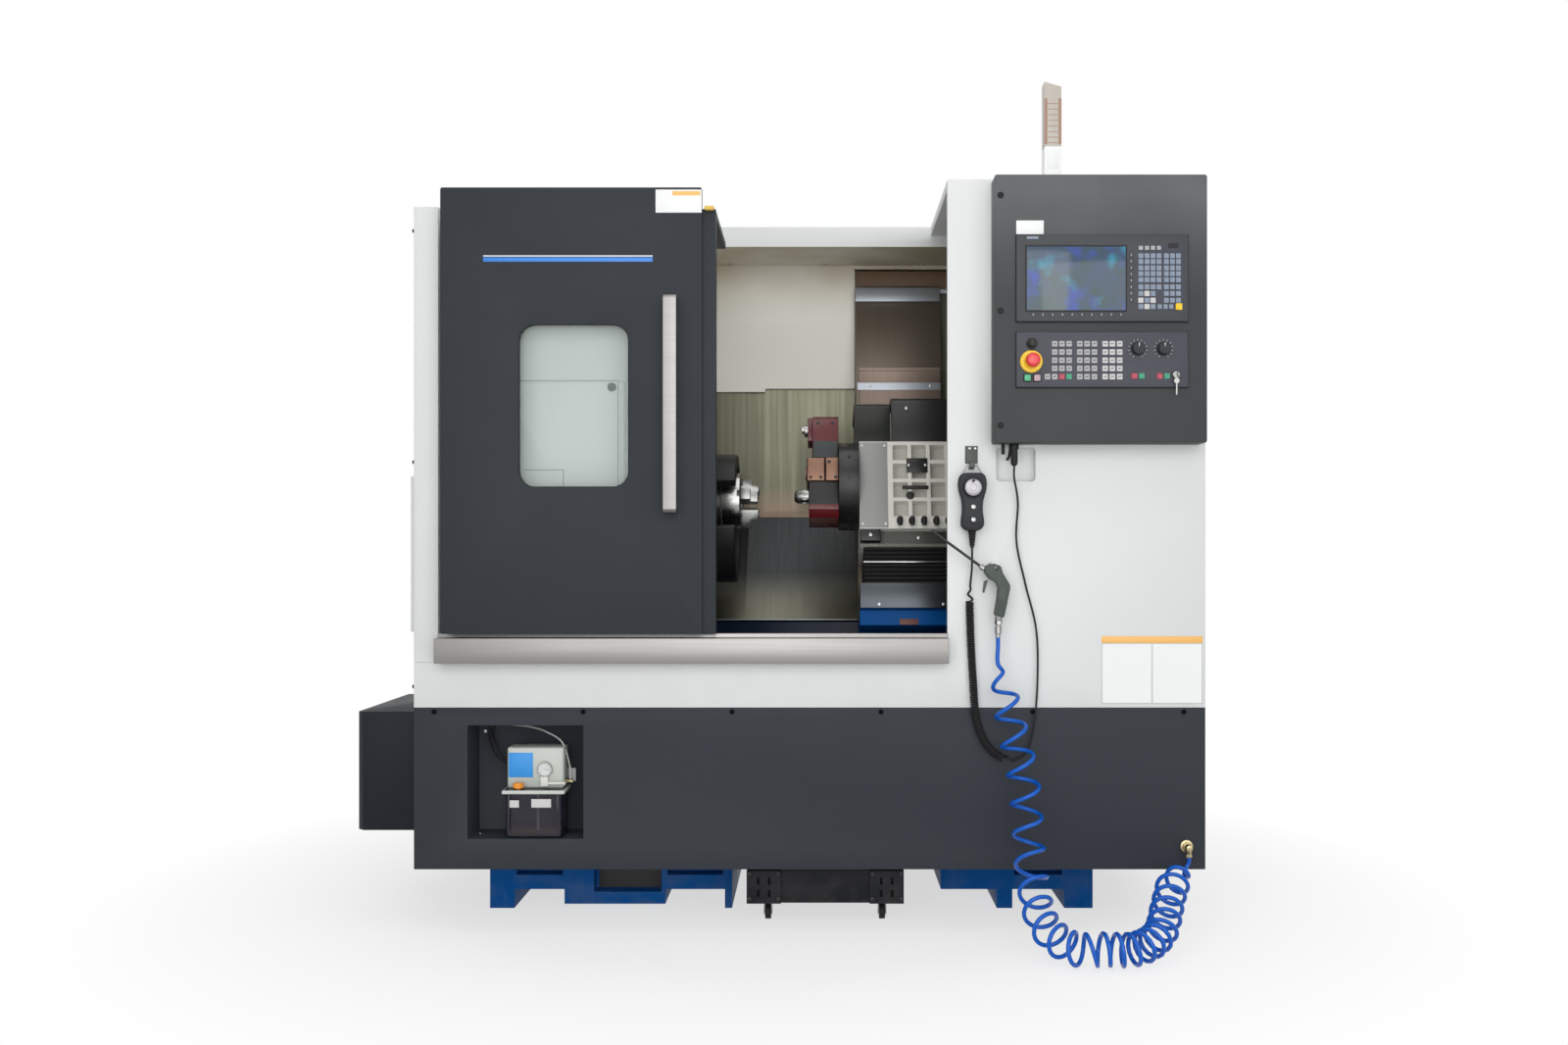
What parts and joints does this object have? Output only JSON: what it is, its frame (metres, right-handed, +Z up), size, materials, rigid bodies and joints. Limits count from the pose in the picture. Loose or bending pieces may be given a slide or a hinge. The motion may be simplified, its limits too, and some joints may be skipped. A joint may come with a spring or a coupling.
{
  "type": "cnc turning lathe",
  "caption": "Enclosed slant-bed turning lathe with a sliding door, chuck, tool turret on slides, control box, pendant, air gun and a roll-out chip tank.",
  "frame": {"origin": "middle of the machine's footprint on the floor, the free cord and hose left out", "axes": "+Z up, X along the spindle from headstock to turret, -Y towards the operator"},
  "size_m": [2.464, 2.0313, 2.451],
  "materials": {
    "charcoal_paint": "fine textured powder coat",
    "control_paint": "fine textured powder coat",
    "white_paint": "fine textured powder coat",
    "chamber_paint": "satin paint",
    "base_blue": "gloss machine enamel",
    "tank_grey": "satin paint",
    "casting_grey": "cast surface, painted",
    "wine_red": "gloss enamel",
    "stainless": "brushed",
    "bright_steel": "ground and polished",
    "turret_black": "blackened steel",
    "black_plastic": "moulded",
    "black_rubber": "matt",
    "window_pane": "clear",
    "bezel_grey": "moulded",
    "panel_grey": "printed film",
    "stop_red": "gloss",
    "start_green": "gloss",
    "hold_grey": "gloss",
    "tower_white": "moulded, frosted lens",
    "pump_grey": "satin paint",
    "smoky_plastic": "translucent",
    "cap_orange": "moulded",
    "pendant_grey": "moulded",
    "gun_grey": "moulded",
    "brass": "turned",
    "hose_blue": "extruded, translucent"
  },
  "bodies": {
    "machine": {"base_casting": "base_blue", "front_skirt": "charcoal_paint", "front_panel": "white_paint", "door_sill": "stainless", "left_front_panel": "white_paint", "left_side_cover": "white_paint", "right_side_cover": "white_paint", "rear_cover": "white_paint", "roof": "chamber_paint", "side_box": "charcoal_paint", "way_cover": "stainless", "chip_trough": "base_blue", "headstock": "casting_grey", "chuck_guard": "black_plastic", "control_box": "control_paint", "display_unit": "bezel_grey", "operator_panel": "panel_grey", "signal_tower": "tower_white", "lubrication_pump": "pump_grey", "oil_reservoir": "smoky_plastic", "pendant_body": "pendant_grey", "pendant_bracket": "stainless", "cable_gland": "black_plastic", "pendant_cord": "black_rubber", "air_gun": "gun_grey", "air_gun_hook": "bright_steel", "hose_fitting": "brass", "air_hose": "hose_blue"},
    "door": {"door_panel": "charcoal_paint", "door_window": "window_pane", "door_handle": "stainless"},
    "spindle": {"chuck": "bright_steel"},
    "jaw_front": {"jaw_front": "bright_steel"},
    "jaw_low": {"jaw_low": "bright_steel"},
    "jaw_rear": {"jaw_rear": "bright_steel"},
    "saddle": {"saddle": "base_blue", "bellows": "black_rubber"},
    "cross_slide": {"turret_housing": "casting_grey"},
    "sliding_cover": {"sliding_cover": "stainless"},
    "turret": {"turret_disc": "turret_black", "tool_block": "wine_red", "live_tool_block": "turret_black"},
    "emergency_stop": {"emergency_stop": "stop_red"},
    "feed_override_knob": {"feed_override_knob": "black_plastic"},
    "spindle_override_knob": {"spindle_override_knob": "black_plastic"},
    "start_button": {"start_button": "start_green"},
    "hold_button": {"hold_button": "hold_grey"},
    "key_switch": {"key_switch": "bright_steel"},
    "pendant_dial": {"pendant_dial": "black_plastic"},
    "pendant_axis_selector": {"pendant_axis_selector": "black_plastic"},
    "pendant_rate_selector": {"pendant_rate_selector": "black_plastic"},
    "gun_trigger": {"gun_trigger": "black_plastic"},
    "filler_cap": {"filler_cap": "cap_orange"},
    "chip_tank": {"chip_tank": "tank_grey"},
    "caster_fork_left": {"caster_fork_left": "bright_steel"},
    "caster_fork_right": {"caster_fork_right": "bright_steel"},
    "front_wheel_left": {"front_wheel_left": "black_rubber"},
    "front_wheel_right": {"front_wheel_right": "black_rubber"},
    "rear_wheel_left": {"rear_wheel_left": "black_rubber"},
    "rear_wheel_right": {"rear_wheel_right": "black_rubber"}
  },
  "joints": [
    {"name": "door_slide", "type": "slide", "parent": "machine", "child": "door", "axis": [1, 0, 0], "range_m": [0, 0.65]},
    {"name": "spindle_turn", "type": "hinge", "parent": "machine", "child": "spindle", "pos_m": [-0.24, -0.29, 1.25], "axis": [1, 0, 0], "continuous": true},
    {"name": "jaw_front_slide", "type": "slide", "parent": "spindle", "child": "jaw_front", "axis": [0, -0.9659, 0.2588], "range_m": [-0.004, 0]},
    {"name": "jaw_low_slide", "type": "slide", "parent": "spindle", "child": "jaw_low", "axis": [0, 0.2588, -0.9659], "range_m": [-0.004, 0]},
    {"name": "jaw_rear_slide", "type": "slide", "parent": "spindle", "child": "jaw_rear", "axis": [0, 0.7071, 0.7071], "range_m": [-0.004, 0]},
    {"name": "saddle_slide", "type": "slide", "parent": "machine", "child": "saddle", "axis": [1, 0, 0], "range_m": [-0.1, 0.35]},
    {"name": "cross_slide_travel", "type": "slide", "parent": "saddle", "child": "cross_slide", "axis": [0, 0.309, 0.9511], "range_m": [-0.06, 0.14], "deforming": ["bellows"]},
    {"name": "sliding_cover_travel", "type": "slide", "parent": "saddle", "child": "sliding_cover", "axis": [0, 0.309, 0.9511], "range_m": [-0.048, 0.112]},
    {"name": "turret_index", "type": "hinge", "parent": "cross_slide", "child": "turret", "pos_m": [0.2, -0.24, 1.298], "axis": [1, 0, 0], "continuous": true},
    {"name": "emergency_stop_push", "type": "slide", "parent": "machine", "child": "emergency_stop", "axis": [0, 1, 0], "range_m": [0, 0.005]},
    {"name": "feed_override_turn", "type": "hinge", "parent": "machine", "child": "feed_override_knob", "pos_m": [1.019, -0.83, 1.658], "axis": [0, 1, 0], "range_deg": [-135, 135]},
    {"name": "spindle_override_turn", "type": "hinge", "parent": "machine", "child": "spindle_override_knob", "pos_m": [1.091, -0.83, 1.658], "axis": [0, 1, 0], "range_deg": [-135, 135]},
    {"name": "start_button_push", "type": "slide", "parent": "machine", "child": "start_button", "axis": [0, 1, 0], "range_m": [0, 0.003], "stiffness_N_per_m": 300},
    {"name": "hold_button_push", "type": "slide", "parent": "machine", "child": "hold_button", "axis": [0, 1, 0], "range_m": [0, 0.003], "stiffness_N_per_m": 300},
    {"name": "key_switch_turn", "type": "hinge", "parent": "machine", "child": "key_switch", "pos_m": [1.125, -0.83, 1.584], "axis": [0, 1, 0], "range_deg": [0, 90]},
    {"name": "pendant_dial_turn", "type": "hinge", "parent": "machine", "child": "pendant_dial", "pos_m": [0.563, -0.7853, 1.272], "axis": [0, 1, 0], "continuous": true},
    {"name": "pendant_axis_turn", "type": "hinge", "parent": "machine", "child": "pendant_axis_selector", "pos_m": [0.563, -0.7853, 1.217], "axis": [0, 1, 0], "range_deg": [-60, 60]},
    {"name": "pendant_rate_turn", "type": "hinge", "parent": "machine", "child": "pendant_rate_selector", "pos_m": [0.563, -0.7853, 1.181], "axis": [0, 1, 0], "range_deg": [-60, 60]},
    {"name": "gun_trigger_pull", "type": "hinge", "parent": "machine", "child": "gun_trigger", "pos_m": [0.6059, -0.783, 1.0116], "axis": [0, -1, 0], "range_deg": [0, 14], "stiffness_Nm_per_rad": 0.5},
    {"name": "filler_cap_turn", "type": "hinge", "parent": "machine", "child": "filler_cap", "pos_m": [-0.736, -0.716, 0.41], "axis": [0, 0, 1], "continuous": true},
    {"name": "tank_roll", "type": "slide", "parent": "machine", "child": "chip_tank", "axis": [0, -1, 0], "range_m": [0, 0.95]},
    {"name": "left_caster_swivel", "type": "hinge", "parent": "chip_tank", "child": "caster_fork_left", "pos_m": [-0.023, -0.58, 0.05], "axis": [0, 0, 1], "continuous": true},
    {"name": "right_caster_swivel", "type": "hinge", "parent": "chip_tank", "child": "caster_fork_right", "pos_m": [0.315, -0.58, 0.05], "axis": [0, 0, 1], "continuous": true},
    {"name": "front_wheel_left_roll", "type": "hinge", "parent": "caster_fork_left", "child": "front_wheel_left", "pos_m": [-0.023, -0.566, 0.024], "axis": [1, 0, 0], "continuous": true},
    {"name": "front_wheel_right_roll", "type": "hinge", "parent": "caster_fork_right", "child": "front_wheel_right", "pos_m": [0.315, -0.566, 0.024], "axis": [1, 0, 0], "continuous": true},
    {"name": "rear_wheel_left_roll", "type": "hinge", "parent": "chip_tank", "child": "rear_wheel_left", "pos_m": [-0.023, 0.294, 0.024], "axis": [1, 0, 0], "continuous": true},
    {"name": "rear_wheel_right_roll", "type": "hinge", "parent": "chip_tank", "child": "rear_wheel_right", "pos_m": [0.315, 0.294, 0.024], "axis": [1, 0, 0], "continuous": true}
  ],
  "couplings": [
    {"joint": "jaw_low_slide", "follows": "jaw_front_slide", "ratio": 1},
    {"joint": "jaw_rear_slide", "follows": "jaw_front_slide", "ratio": 1},
    {"joint": "sliding_cover_travel", "follows": "cross_slide_travel", "ratio": 0.8}
  ]
}
